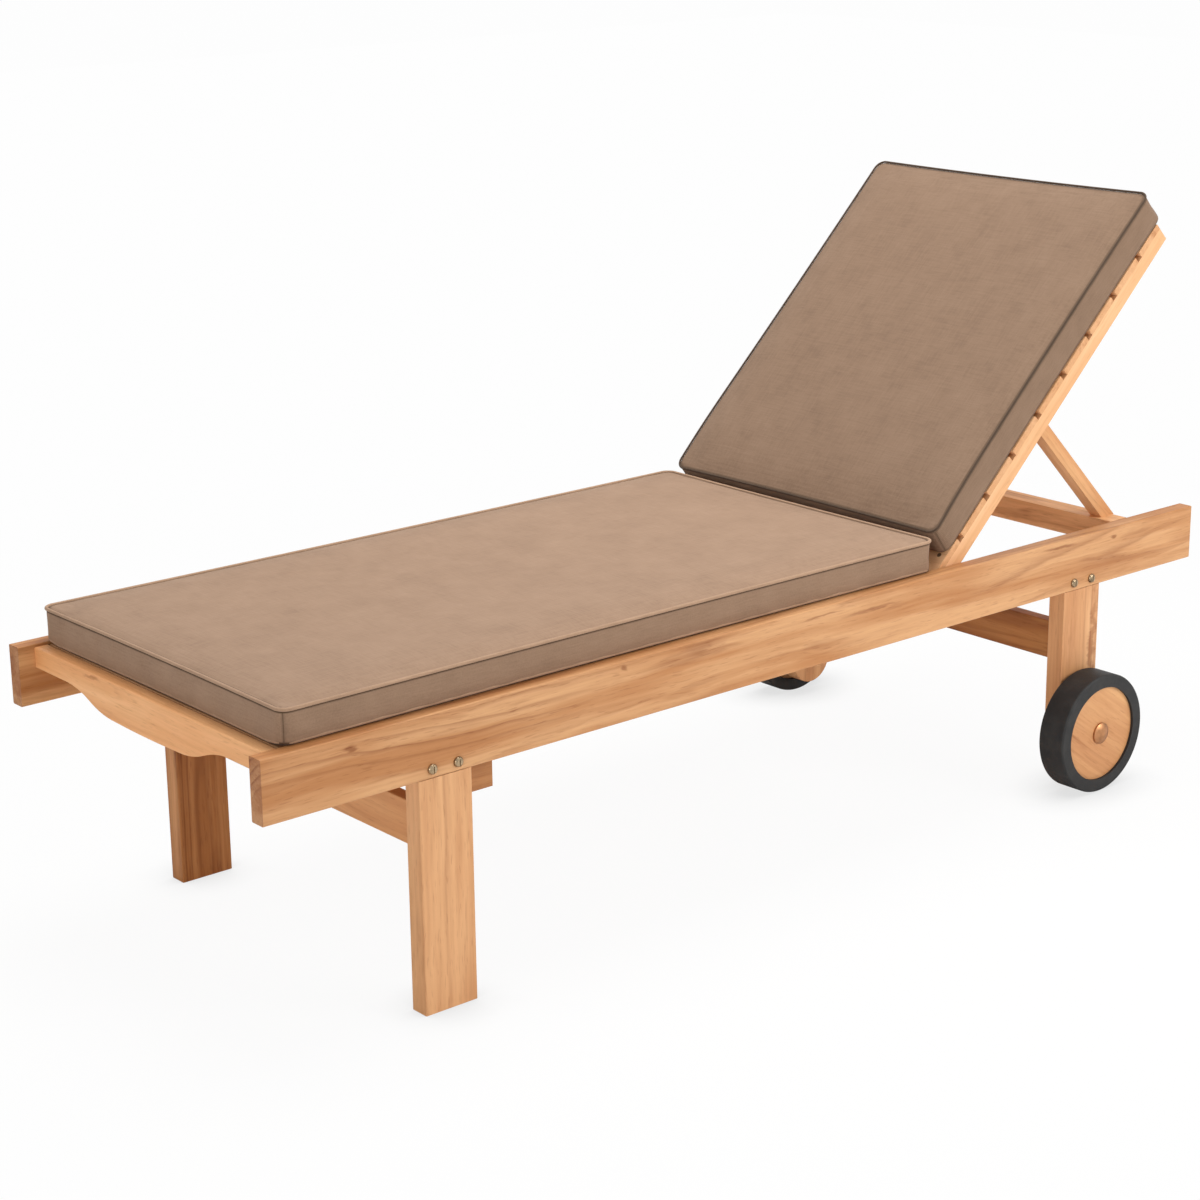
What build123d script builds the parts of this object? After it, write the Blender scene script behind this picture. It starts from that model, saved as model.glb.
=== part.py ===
from build123d import *
import os
from math import cos, radians, sin

# Sun lounger in solid teak: a slatted seat between two side rails, a hinged slatted back held up by a
# swinging prop, two fixed front legs, two wheeled rear legs, and two loose box cushions.
# Millimetres. X runs from the foot end (-X) to the head end (+X), Z is up, the floor is Z = 0, and the
# origin is on the floor under the middle of the side rails. Left is -Y, the left of a person lying on it.

os.makedirs("parts", exist_ok=True)
SIDES = (("left", -1), ("right", 1))

# Overall sizes
frame_length = 2000.0
frame_width = 700.0
rail_thickness = 28.0
rail_height = 96.0
rail_top = 458.0
slats_below_rail_top = 5.0
edge_ease = 2.0
cut_overrun = 1.0
side_gap = 2.0

rail_outer = frame_width / 2
rail_inner = rail_outer - rail_thickness
rail_middle = (rail_outer + rail_inner) / 2
rail_bottom = rail_top - rail_height
slat_top = rail_top - slats_below_rail_top
between_rails = rail_inner - side_gap

# Legs, with a tongue on top that is let into a housing in the inner face of the rail; the rear ones end round
leg_width = 94.0
leg_thickness = 34.0
front_leg_x = -693.0
rear_leg_x = 701.0
rear_leg_lift = 26.0
tongue_height = 50.0
tongue_thickness = 14.0
brace_tenon_length = 12.0
brace_tenon_thickness = 12.0
brace_tenon_shoulder = 12.0
leg_inner = rail_outer - leg_thickness
tongue_outer = rail_inner + tongue_thickness

# Leg bolts: two through the lower edge of the rail into each tongue
bolt_radius = 4.0
bolt_spacing = 46.0
bolt_above_rail_bottom = 14.0
bolt_head_radius = 8.0
bolt_head_height = 5.0
bolt_head_round = 4.2
bolt_slot_width = 1.6
bolt_slot_depth = 1.8
bolt_end_beyond_nut = 1.5
nut_radius = 7.5
nut_height = 6.5
washer_radius = 9.0
washer_thickness = 1.6
bolt_z = rail_bottom + bolt_above_rail_bottom
leg_places = (("front", front_leg_x), ("rear", rear_leg_x))
bolt_xs = [x + turn * bolt_spacing / 2 for _, x in leg_places for turn in (-1, 1)]

# Slats, their bearers and their screws
seat_slat_width = 75.0
seat_slat_thickness = 18.0
seat_slat_count = 15
back_slat_thickness = 12.0
back_slat_count = 9
back_slat_start = 3.0
back_slat_gap = 12.0
back_top_slat_width = 64.0
seat_head_end = 335.0
bearer_width = 22.0
bearer_height = 22.0
bearer_foot_gap = 2.0
screw_radius = 2.0
screw_head_radius = 4.0
screw_head_height = 3.0
screw_length = 30.0
back_screw_length = 28.0
slat_ease = 1.5
slat_bottom = slat_top - seat_slat_thickness
bearer_inner = rail_inner - bearer_width
seat_screw_y = rail_inner - bearer_width / 2

# Foot apron with its scalloped lower edge
apron_setback = 28.0
apron_thickness = 24.0
apron_end_depth = 32.0
apron_middle_depth = 60.0
apron_tenon_length = 12.0
apron_tenon_thickness = 10.0
apron_tenon_shoulder = 7.0
apron_scallop_sag = 1.5
scallop_outer = 230.0
scallop_inner = 90.0
apron_foot = -frame_length / 2 + apron_setback
apron_head = apron_foot + apron_thickness

# Cross braces between the legs, and the blocks behind the front legs
brace_height = 68.0
brace_thickness = 24.0
front_brace_below_rail = 38.0
rear_brace_below_rail = 59.0
brace_setback = 4.0
block_length = 122.0
block_height = 47.0
block_thickness = 24.0
block_overhang = 63.0
block_top_gap = 8.0
brace_bottoms = {
    "front": rail_bottom - front_brace_below_rail - brace_height,
    "rear": rail_bottom - rear_brace_below_rail - brace_height,
}

# Backrest: it hinges on two pins in the rails and rests raised by back_angle
back_angle = 44.0
hinge_x = 367.5
hinge_below_slats = 25.5
stile_depth = 27.0
stile_thickness = 30.0
back_length = 763.0
hinge_pin_radius = 5.0
hinge_pin_in_rail = 18.0
pin_head_radius = 9.0
pin_head_height = 4.0
running_clearance = 0.05
end_clearance = 0.3
hinge_z = slat_top - hinge_below_slats
stile_inner = between_rails - stile_thickness
stile_middle = between_rails - stile_thickness / 2
back_face = stile_depth / 2 + back_slat_thickness

# Prop: two arms on pivot bolts through the stiles, joined by a foot bar that rides on the racks
prop_pivot_past_gap = 12.0
arm_depth = 24.0
arm_thickness = 26.0
foot_bar_x = 832.0
foot_bar_width = 44.0
foot_bar_height = 42.0
foot_bar_below_hinge = 13.0
foot_bar_end_gap = 3.0
arm_past_bar_middle = 8.0
prop_tenon_width = 10.0
prop_tenon_length = 14.0
prop_tenon_depth = 16.0
pivot_radius = 4.0
pivot_in_stile = 20.0
pivot_head_radius = 8.0
pivot_head_height = 4.0
arm_outer = stile_inner - side_gap
arm_inner = arm_outer - arm_thickness
arm_middle = (arm_outer + arm_inner) / 2
foot_bar_bottom = hinge_z - foot_bar_below_hinge
foot_bar_top = foot_bar_bottom + foot_bar_height
arm_foot_x = foot_bar_x + arm_past_bar_middle
foot_bar_end = rail_inner - foot_bar_end_gap

# Notched racks on the inner faces of the rails
rack_width = 22.0
rack_below_hinge = 38.5
rack_foot_reach = 192.0
rack_head_reach = 83.0
rack_notch_depth = 8.0
rack_notch_width = 46.0
rack_notch_pitch = 58.0
rest_notch_below_bar = 16.5
rest_tip_below_bar = 10.0
rack_tail_below_bar = 22.5
rack_notch_count = 4
rack_bottom = hinge_z - rack_below_hinge
rack_foot_x = foot_bar_x - rack_foot_reach
rack_head_x = foot_bar_x + rack_head_reach
rest_notch_floor = foot_bar_bottom - rest_notch_below_bar
rest_notch_tip = foot_bar_bottom - rest_tip_below_bar
rack_tail_top = foot_bar_bottom - rack_tail_below_bar
rack_top = hinge_z - stile_depth / 2 - end_clearance

# Wheels: a wooden disc in a rubber tyre, on a stub axle through the rear leg
wheel_radius = 107.5
wheel_width = 54.0
disc_radius = 84.5
disc_width = 40.0
disc_recess = 5.0
tyre_shoulder = 4.0
wheel_gap = 5.0
axle_radius = 6.0
axle_head_radius = 12.0
axle_head_height = 6.0
axle_head_recess_radius = 16.0
axle_head_recess = 14.0
axle_nut_radius = 11.0
axle_nut_height = 9.0
axle_washer_radius = 14.0
axle_washer_thickness = 2.5
spacer_radius = 13.0
hub_cap_radius = 19.0
hub_cap_rise = 9.0
hub_cap_rim = 3.0
wheel_inner = rail_outer + wheel_gap
disc_outer = wheel_inner + wheel_width - disc_recess
disc_inner = disc_outer - disc_width

# Cushions: box cushions with a crowned top, drawn-in sides and rounded corners. The seat cushion lies on the
# top edges of the rails; the back cushion lies on the back slats.
cushion_crown = 7.0
cushion_corner = 20.0
cushion_draw_in = 3.0
cushion_lift = 0.3
seat_cushion_thickness = 53.0
seat_cushion_over_rail = 8.0
seat_cushion_foot = -950.0
seat_cushion_head = 340.0
back_cushion_thickness = 59.0
back_cushion_side_gap = 1.0
back_cushion_start = 50.0
back_cushion_length = 732.0
edge_step = 3.0
edge_round_shares = ((0.0, 1.0), (0.3, 0.5), (0.9, 0.12), (2.0, 0.0))
crown_shares = ((0.30, 0.07), (0.62, 0.20), (0.85, 0.38), (1.0, 0.62))
seat_cushion_half_width = rail_inner + seat_cushion_over_rail
back_cushion_half_width = rail_inner - back_cushion_side_gap


def save(piece, name):
    """Label a finished piece and write it to its own file."""
    piece.part.label = name
    export_step(piece.part, f"parts/{name}.step")


def side_plane(x, y, z, angle=0):
    """A plane whose sketch coordinates run along the slope in the XZ plane, facing -Y."""
    tilt = radians(angle)
    return Plane(origin=(x, y, z), x_dir=(cos(tilt), 0, sin(tilt)), z_dir=(0, -1, 0))


def deck_plane(x, z, angle=0):
    """A plane that lies along the slope, with its second axis along Y and its normal upwards."""
    tilt = radians(angle)
    return Plane(origin=(x, 0, z), x_dir=(cos(tilt), 0, sin(tilt)), z_dir=(-sin(tilt), 0, cos(tilt)))


def block(x_span, y_span, z_span, mode=Mode.ADD):
    """A box between two coordinates along each axis."""
    middle = [sum(span) / 2 for span in (x_span, y_span, z_span)]
    size = [abs(span[1] - span[0]) for span in (x_span, y_span, z_span)]
    with Locations(tuple(middle)):
        Box(*size, mode=mode)


def rod(radius, x, z, y_span, mode=Mode.ADD):
    """A round bar along Y between two coordinates."""
    with Locations(Location((x, sum(y_span) / 2, z), (90, 0, 0))):
        Cylinder(radius, abs(y_span[1] - y_span[0]), mode=mode)


def ease_edges(piece, axis, size):
    """Break the sharp edges that run along an axis."""
    fillet(piece.edges().filter_by(axis), size)


def leg_bolt_holes(leg_x, y_span):
    """Holes for the two bolts that hold a leg to its rail."""
    for turn in (-1, 1):
        rod(bolt_radius, leg_x + turn * bolt_spacing / 2, bolt_z, y_span, Mode.SUBTRACT)


def tenon_span(start, thickness, tenon_thickness):
    """The two faces of a tenon in the middle of a board."""
    middle = start + thickness / 2
    return (middle - tenon_thickness / 2, middle + tenon_thickness / 2)


back_slat_run = back_length - back_top_slat_width - back_slat_start
back_slat_width = back_slat_run / (back_slat_count - 1) - back_slat_gap
back_slat_pitch = back_slat_width + back_slat_gap
back_slats = [
    (back_slat_start + back_slat_width / 2 + back_slat_pitch * index, back_slat_width)
    for index in range(back_slat_count - 1)
]
back_slats.append((back_length - back_top_slat_width / 2, back_top_slat_width))
back_screw_places = [(along, side * stile_middle) for along, _ in back_slats for _, side in SIDES]

back_plane = deck_plane(hinge_x, hinge_z, back_angle)
prop_pivot_along = back_slat_start + 4 * back_slat_pitch - back_slat_gap / 2 + prop_pivot_past_gap
prop_pivot = back_plane.from_local_coords((prop_pivot_along, 0, 0))
arm_run = Vector(arm_foot_x - prop_pivot.X, 0, foot_bar_top - prop_pivot.Z)
arm_length = arm_run.length
arm_angle = -Vector(1, 0, 0).get_angle(arm_run)
apron_end_z = slat_top - apron_end_depth
apron_middle_z = slat_top - apron_middle_depth
apron_tenon_x = tenon_span(apron_foot, apron_thickness, apron_tenon_thickness)
apron_tenon_z = (apron_end_z + apron_tenon_shoulder, slat_top - apron_tenon_shoulder)
brace_tenon_zs = {
    place: (bottom + brace_tenon_shoulder, bottom + brace_height - brace_tenon_shoulder)
    for place, bottom in brace_bottoms.items()
}

# Side rails: one board each, housed inside for the leg tongues, mortised for the apron, drilled for bolts and pin
for name, side in SIDES:
    with BuildPart() as rail:
        block((-frame_length / 2, frame_length / 2), (side * rail_inner, side * rail_outer), (rail_bottom, rail_top))
        ease_edges(rail, Axis.X, edge_ease)
        for _, leg_x in leg_places:
            block(
                (leg_x - leg_width / 2, leg_x + leg_width / 2),
                (side * (rail_inner - cut_overrun), side * tongue_outer),
                (rail_bottom - cut_overrun, rail_bottom + tongue_height),
                Mode.SUBTRACT,
            )
            leg_bolt_holes(leg_x, (side * rail_inner, side * (rail_outer + cut_overrun)))
        mortise = (side * (rail_inner - cut_overrun), side * (rail_inner + apron_tenon_length))
        block(apron_tenon_x, mortise, apron_tenon_z, Mode.SUBTRACT)
        pin_hole = (side * (rail_inner - cut_overrun), side * (rail_inner + hinge_pin_in_rail))
        rod(hinge_pin_radius, hinge_x, hinge_z, pin_hole, Mode.SUBTRACT)
    save(rail, f"side_rail_{name}")

# Legs: flush with the outer face of the rail, mortised for the brace; the rear ones carry the axles
for place, leg_x in leg_places:
    for name, side in SIDES:
        leg_span = (leg_x - leg_width / 2, leg_x + leg_width / 2)
        brace_tenon_x = tenon_span(leg_span[0] + brace_setback, brace_thickness, brace_tenon_thickness)
        with BuildPart() as leg:
            if place == "rear":
                end_z = rear_leg_lift + leg_width / 2
                rod(leg_width / 2, leg_x, end_z, (side * leg_inner, side * rail_outer))
                block(leg_span, (side * leg_inner, side * rail_outer), (end_z, rail_bottom))
            else:
                block(leg_span, (side * leg_inner, side * rail_outer), (0, rail_bottom))
            ease_edges(leg, Axis.Z, edge_ease)
            block(leg_span, (side * rail_inner, side * tongue_outer), (rail_bottom, rail_bottom + tongue_height))
            leg_bolt_holes(leg_x, (side * leg_inner, side * rail_outer))
            mortise = (side * (leg_inner - cut_overrun), side * (leg_inner + brace_tenon_length))
            block(brace_tenon_x, mortise, brace_tenon_zs[place], Mode.SUBTRACT)
            if place == "rear":
                hole = (side * (leg_inner - cut_overrun), side * (rail_outer + cut_overrun))
                rod(axle_radius, leg_x, wheel_radius, hole, Mode.SUBTRACT)
        save(leg, f"{place}_leg_{name}")

# Leg bolts: domed, slotted heads outside, with washers and nuts on the inner face of the tongue
with BuildPart() as leg_bolts:
    for _, side in SIDES:
        for bolt_x in bolt_xs:
            bolt_end = rail_inner - washer_thickness - nut_height - bolt_end_beyond_nut
            head_top = rail_outer + bolt_head_height
            rod(bolt_head_radius, bolt_x, bolt_z, (side * rail_outer, side * head_top))
            rod(bolt_radius, bolt_x, bolt_z, (side * bolt_end, side * rail_outer))
    outer_rims = [
        edge
        for edge in leg_bolts.edges().filter_by(GeomType.CIRCLE)
        if abs(abs(edge.center().Y) - rail_outer - bolt_head_height) < edge_ease / 2
    ]
    fillet(outer_rims, bolt_head_round)
    for _, side in SIDES:
        for bolt_x in bolt_xs:
            slot_top = rail_outer + bolt_head_height
            block(
                (bolt_x - bolt_slot_width / 2, bolt_x + bolt_slot_width / 2),
                (side * (slot_top - bolt_slot_depth), side * (slot_top + cut_overrun)),
                (bolt_z - bolt_head_radius, bolt_z + bolt_head_radius),
                Mode.SUBTRACT,
            )
save(leg_bolts, "leg_bolts")

with BuildPart() as leg_nuts:
    for _, side in SIDES:
        for bolt_x in bolt_xs:
            washer_inner = rail_inner - washer_thickness
            rod(washer_radius, bolt_x, bolt_z, (side * washer_inner, side * rail_inner))
            with BuildSketch(side_plane(bolt_x, side * (washer_inner - nut_height / 2), bolt_z)):
                RegularPolygon(nut_radius, 6)
            extrude(amount=nut_height / 2, both=True)
            through = (side * (washer_inner - nut_height - cut_overrun), side * (rail_inner + cut_overrun))
            rod(bolt_radius, bolt_x, bolt_z, through, Mode.SUBTRACT)
save(leg_nuts, "leg_nuts")

# Foot apron: a board tenoned between the rails, with a belly cut along its lower edge
scallop_turn = ((scallop_outer + scallop_inner) / 2, (apron_end_z + apron_middle_z) / 2)
with BuildPart() as apron:
    with BuildSketch(Plane.YZ.offset(apron_foot)):
        with BuildLine():
            Polyline(
                (-scallop_outer, apron_end_z),
                (-rail_inner, apron_end_z),
                (-rail_inner, slat_top),
                (rail_inner, slat_top),
                (rail_inner, apron_end_z),
                (scallop_outer, apron_end_z),
            )
            for side in (-1, 1):
                turn = (side * scallop_turn[0], scallop_turn[1])
                TangentArc((side * scallop_outer, apron_end_z), turn, tangent=(-side, 0))
                TangentArc((side * scallop_inner, apron_middle_z), turn, tangent=(side, 0))
            ThreePointArc(
                (-scallop_inner, apron_middle_z), (0, apron_middle_z - apron_scallop_sag), (scallop_inner, apron_middle_z)
            )
        make_face()
    extrude(amount=apron_thickness)
    fillet(apron.edges().filter_by(Axis.Y).group_by(Axis.Z)[-1], edge_ease)
    for _, side in SIDES:
        tenon = (side * (rail_inner - cut_overrun), side * (rail_inner + apron_tenon_length))
        block(apron_tenon_x, tenon, apron_tenon_z)
save(apron, "foot_apron")

# Cross braces tenoned between the inner faces of the legs
for place, leg_x in leg_places:
    brace_foot = leg_x - leg_width / 2 + brace_setback
    brace_bottom = brace_bottoms[place]
    with BuildPart() as brace:
        block(
            (brace_foot, brace_foot + brace_thickness),
            (-leg_inner, leg_inner),
            (brace_bottom, brace_bottom + brace_height),
        )
        ease_edges(brace, Axis.Y, edge_ease)
        tenon = leg_inner + brace_tenon_length
        tenon_x = tenon_span(brace_foot, brace_thickness, brace_tenon_thickness)
        block(tenon_x, (-tenon, tenon), brace_tenon_zs[place])
    save(brace, f"{place}_brace")

# Blocks on the inner faces of the front legs, under the rail, reaching past the leg towards the head
block_head = front_leg_x + leg_width / 2 + block_overhang
block_top = rail_bottom - block_top_gap
for name, side in SIDES:
    with BuildPart() as leg_block:
        block(
            (block_head - block_length, block_head),
            (side * (leg_inner - block_thickness), side * leg_inner),
            (block_top - block_height, block_top),
        )
        ease_edges(leg_block, Axis.X, edge_ease)
    save(leg_block, f"front_leg_block_{name}")

# Seat: slats on a bearer along each rail, one countersunk screw in each end of each slat
seat_foot_end = apron_head + side_gap
seat_pitch = (seat_head_end - seat_foot_end - seat_slat_width) / (seat_slat_count - 1)
seat_slat_xs = [seat_foot_end + seat_slat_width / 2 + seat_pitch * index for index in range(seat_slat_count)]
seat_screw_places = [(x, side * seat_screw_y) for x in seat_slat_xs for _, side in SIDES]


def screw_shapes(plane, places, top, length, mode=Mode.ADD):
    """Countersunk screws, or their holes, square to a plane at the given places."""
    for along, across in places:
        with Locations(plane * Location((along, across, top - length / 2))):
            Cylinder(screw_radius, length, mode=mode)
        with Locations(plane * Location((along, across, top - screw_head_height / 2))):
            Cone(screw_radius, screw_head_radius, screw_head_height, mode=mode)


level_plane = deck_plane(0, 0)
for name, side in SIDES:
    with BuildPart() as bearer:
        block(
            (apron_head + bearer_foot_gap, seat_head_end),
            (side * bearer_inner, side * rail_inner),
            (slat_bottom - bearer_height, slat_bottom),
        )
        own_screws = [place for place in seat_screw_places if place[1] * side > 0]
        screw_shapes(level_plane, own_screws, slat_top, screw_length, Mode.SUBTRACT)
    save(bearer, f"seat_bearer_{name}")

for index, slat_x in enumerate(seat_slat_xs):
    with BuildPart() as slat:
        block(
            (slat_x - seat_slat_width / 2, slat_x + seat_slat_width / 2),
            (-between_rails, between_rails),
            (slat_bottom, slat_top),
        )
        ease_edges(slat, Axis.Y, slat_ease)
        ends = [(slat_x, side * seat_screw_y) for _, side in SIDES]
        screw_shapes(level_plane, ends, slat_top, screw_length, Mode.SUBTRACT)
    save(slat, f"seat_slat_{index + 1:02d}")

with BuildPart() as seat_screws:
    screw_shapes(level_plane, seat_screw_places, slat_top, screw_length)
save(seat_screws, "seat_slat_screws")

# Backrest: two stiles with rounded lower ends on the hinge pins, slats across their front faces
for name, side in SIDES:
    with BuildPart() as stile:
        with BuildSketch(side_plane(hinge_x, side * stile_middle, hinge_z, back_angle)):
            with Locations((back_length / 2, 0)):
                Rectangle(back_length, stile_depth)
            Circle(stile_depth / 2)
            Circle(hinge_pin_radius + running_clearance, mode=Mode.SUBTRACT)
        extrude(amount=stile_thickness / 2, both=True)
        pivot_hole = (side * (stile_inner - cut_overrun), side * (stile_inner + pivot_in_stile))
        rod(pivot_radius, prop_pivot.X, prop_pivot.Z, pivot_hole, Mode.SUBTRACT)
        own_screws = [place for place in back_screw_places if place[1] * side > 0]
        screw_shapes(back_plane, own_screws, back_face, back_screw_length, Mode.SUBTRACT)
    save(stile, f"backrest_stile_{name}")

for index, (along, width) in enumerate(back_slats):
    with BuildPart() as slat:
        with Locations(back_plane * Location((along, 0, back_face - back_slat_thickness / 2))):
            Box(width, 2 * between_rails, back_slat_thickness)
        ease_edges(slat, Axis.Y, slat_ease)
        ends = [(along, side * stile_middle) for _, side in SIDES]
        screw_shapes(back_plane, ends, back_face, back_screw_length, Mode.SUBTRACT)
    save(slat, f"back_slat_{index + 1:02d}")

with BuildPart() as back_screws:
    screw_shapes(back_plane, back_screw_places, back_face, back_screw_length)
save(back_screws, "back_slat_screws")

# Hinge pins: driven into the rails, with a head inside the stile
with BuildPart() as hinge_pins:
    for _, side in SIDES:
        shaft_end = stile_inner - end_clearance
        rod(hinge_pin_radius, hinge_x, hinge_z, (side * shaft_end, side * (rail_inner + hinge_pin_in_rail)))
        rod(pin_head_radius, hinge_x, hinge_z, (side * (shaft_end - pin_head_height), side * shaft_end))
save(hinge_pins, "hinge_pins")

# Prop arms: rounded at the pivot, cut level on the foot bar and tenoned down into it
arm_end = arm_length + arm_depth
tenon_x = (arm_foot_x - prop_tenon_length / 2, arm_foot_x + prop_tenon_length / 2)
tenon_z = (foot_bar_top - prop_tenon_depth, foot_bar_top)
for name, side in SIDES:
    tenon_y = (side * arm_middle - prop_tenon_width / 2, side * arm_middle + prop_tenon_width / 2)
    with BuildPart() as arm:
        with BuildSketch(side_plane(prop_pivot.X, side * arm_middle, prop_pivot.Z, arm_angle)):
            with Locations((arm_end / 2, 0)):
                Rectangle(arm_end, arm_depth)
            Circle(arm_depth / 2)
            Circle(pivot_radius + running_clearance, mode=Mode.SUBTRACT)
        extrude(amount=arm_thickness / 2, both=True)
        block(
            (arm_foot_x - 2 * arm_depth, arm_foot_x + 2 * arm_depth),
            (-foot_bar_end, foot_bar_end),
            (foot_bar_top - 2 * arm_depth, foot_bar_top),
            Mode.SUBTRACT,
        )
        block(tenon_x, tenon_y, tenon_z)
    save(arm, f"prop_arm_{name}")

with BuildPart() as foot_bar:
    block(
        (foot_bar_x - foot_bar_width / 2, foot_bar_x + foot_bar_width / 2),
        (-foot_bar_end, foot_bar_end),
        (foot_bar_bottom, foot_bar_top),
    )
    for _, side in SIDES:
        tenon_y = (side * arm_middle - prop_tenon_width / 2, side * arm_middle + prop_tenon_width / 2)
        block(tenon_x, tenon_y, tenon_z, Mode.SUBTRACT)
save(foot_bar, "prop_foot_bar")

# Prop pivot pins: driven into the stiles from inside, with a head inside each arm
with BuildPart() as pivot_pins:
    for _, side in SIDES:
        shaft_end = arm_inner - end_clearance
        pivot = (prop_pivot.X, prop_pivot.Z)
        rod(pivot_radius, *pivot, (side * shaft_end, side * (stile_inner + pivot_in_stile)))
        rod(pivot_head_radius, *pivot, (side * (shaft_end - pivot_head_height), side * shaft_end))
save(pivot_pins, "prop_pivot_pins")

# Toothed racks: each notch slopes down to an upright face, and the head end falls away under the path of the bar
rest_notch_foot = foot_bar_x - rack_notch_width / 2
rest_notch_head = rest_notch_foot + rack_notch_width
rack_outline = [(rack_head_x, rack_tail_top), (rack_head_x, rack_bottom), (rack_foot_x, rack_bottom)]
rack_outline += [(rack_foot_x, rack_top - rack_notch_depth)]
for index in reversed(range(rack_notch_count)):
    notch_foot = rest_notch_foot - rack_notch_pitch * index
    if index < rack_notch_count - 1:
        rack_outline += [(notch_foot, rack_top)]
    if index > 0:
        notch_head = notch_foot + rack_notch_width
        rack_outline += [(notch_head, rack_top - rack_notch_depth), (notch_head, rack_top)]
rack_outline += [(rest_notch_head, rest_notch_floor), (rest_notch_head, rest_notch_tip)]
for name, side in SIDES:
    with BuildPart() as rack:
        with BuildSketch(Plane.XZ.offset(-side * rail_inner)):
            with BuildLine():
                Polyline(*rack_outline, close=True)
            make_face()
        extrude(amount=side * rack_width)
    save(rack, f"prop_rack_{name}")

# Wheels: disc, tyre and hub cap turn together on the stub axle
for name, side in SIDES:
    axle_place = (rear_leg_x, wheel_radius)
    with BuildPart() as disc:
        rod(disc_radius, *axle_place, (side * disc_inner, side * disc_outer))
        rod(axle_radius + running_clearance, *axle_place, (side * disc_inner, side * disc_outer), Mode.SUBTRACT)
        recess = (side * (disc_outer - axle_head_recess), side * disc_outer)
        rod(axle_head_recess_radius, *axle_place, recess, Mode.SUBTRACT)
    save(disc, f"wheel_disc_{name}")

    with BuildPart() as tyre:
        rod(wheel_radius, *axle_place, (side * wheel_inner, side * (wheel_inner + wheel_width)))
        fillet(tyre.edges().filter_by(GeomType.CIRCLE), tyre_shoulder)
        through = (side * (wheel_inner - cut_overrun), side * (wheel_inner + wheel_width + cut_overrun))
        rod(disc_radius, *axle_place, through, Mode.SUBTRACT)
    save(tyre, f"tyre_{name}")

    hub_centre = (rear_leg_x, side * disc_outer, wheel_radius)
    with BuildPart() as hub_cap:
        with BuildSketch(Plane(origin=hub_centre, x_dir=(1, 0, 0), z_dir=(0, 0, side))):
            with BuildLine():
                Polyline((0, hub_cap_rise), (0, 0), (hub_cap_radius, 0), (hub_cap_radius, hub_cap_rim))
                TangentArc((0, hub_cap_rise), (hub_cap_radius, hub_cap_rim), tangent=(1, 0))
            make_face()
        revolve(axis=Axis(origin=hub_centre, direction=(0, side, 0)))
    save(hub_cap, f"hub_cap_{name}")

# Stub axles: the head turns in the recess of the disc, a nut holds the shaft on the inner face of the leg
with BuildPart() as axles:
    for _, side in SIDES:
        shaft_inner = leg_inner - axle_washer_thickness - axle_nut_height - bolt_end_beyond_nut
        head_inner = disc_outer - axle_head_recess + end_clearance
        rod(axle_radius, rear_leg_x, wheel_radius, (side * shaft_inner, side * head_inner))
        rod(axle_head_radius, rear_leg_x, wheel_radius, (side * head_inner, side * (head_inner + axle_head_height)))
save(axles, "wheel_axles")

# Nuts and washers on the inner faces of the legs, and spacers between the legs and the discs
with BuildPart() as axle_fittings:
    for _, side in SIDES:
        washer_inner = leg_inner - axle_washer_thickness
        rod(axle_washer_radius, rear_leg_x, wheel_radius, (side * washer_inner, side * leg_inner))
        with BuildSketch(side_plane(rear_leg_x, side * (washer_inner - axle_nut_height / 2), wheel_radius)):
            RegularPolygon(axle_nut_radius, 6)
        extrude(amount=axle_nut_height / 2, both=True)
        bore = (side * (washer_inner - axle_nut_height - cut_overrun), side * (leg_inner + cut_overrun))
        rod(axle_radius, rear_leg_x, wheel_radius, bore, Mode.SUBTRACT)
        length = (side * rail_outer, side * (disc_inner - end_clearance))
        rod(spacer_radius, rear_leg_x, wheel_radius, length)
        rod(axle_radius, rear_leg_x, wheel_radius, length, Mode.SUBTRACT)
save(axle_fittings, "axle_nuts_and_spacers")


def cushion_outline(half_length, half_width, inset):
    """A rectangle with rounded corners whose sides are drawn in between them."""
    long_end = half_length - inset
    wide_end = half_width - inset
    corner = cushion_corner
    pull = cushion_draw_in
    bend = corner * (1 - cos(radians(45)))
    for turn_x in (-1, 1):
        for turn_y in (-1, 1):
            ThreePointArc(
                (turn_x * long_end, turn_y * (wide_end - corner)),
                (turn_x * (long_end - bend), turn_y * (wide_end - bend)),
                (turn_x * (long_end - corner), turn_y * wide_end),
            )
    for turn in (-1, 1):
        ThreePointArc(
            (-long_end + corner, turn * wide_end), (0, turn * (wide_end - pull)), (long_end - corner, turn * wide_end)
        )
        ThreePointArc(
            (turn * long_end, -wide_end + corner), (turn * (long_end - pull), 0), (turn * long_end, wide_end - corner)
        )


def cushion(plane, half_length, half_width, thickness, name):
    """A box cushion that lies on a plane: rounded lower edge, upright sides, rounded top edge and crown."""
    steps = [(edge_step * rise, edge_step * inset) for rise, inset in edge_round_shares]
    levels = steps + [(thickness - rise, inset) for rise, inset in reversed(steps)]
    top_inset = steps[0][1]
    for rise_share, inset_share in crown_shares:
        levels.append((thickness + cushion_crown * rise_share, top_inset + half_width * inset_share))
    with BuildPart() as pad:
        for height, inset in levels:
            with BuildSketch(plane.offset(height)):
                with BuildLine():
                    cushion_outline(half_length, half_width, inset)
                make_face()
        loft(ruled=True)
    save(pad, name)


seat_cushion_middle = (seat_cushion_foot + seat_cushion_head) / 2
seat_cushion_half = (seat_cushion_head - seat_cushion_foot) / 2
seat_cushion_plane = deck_plane(seat_cushion_middle, rail_top + cushion_lift)
cushion(seat_cushion_plane, seat_cushion_half, seat_cushion_half_width, seat_cushion_thickness, "seat_cushion")

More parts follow.
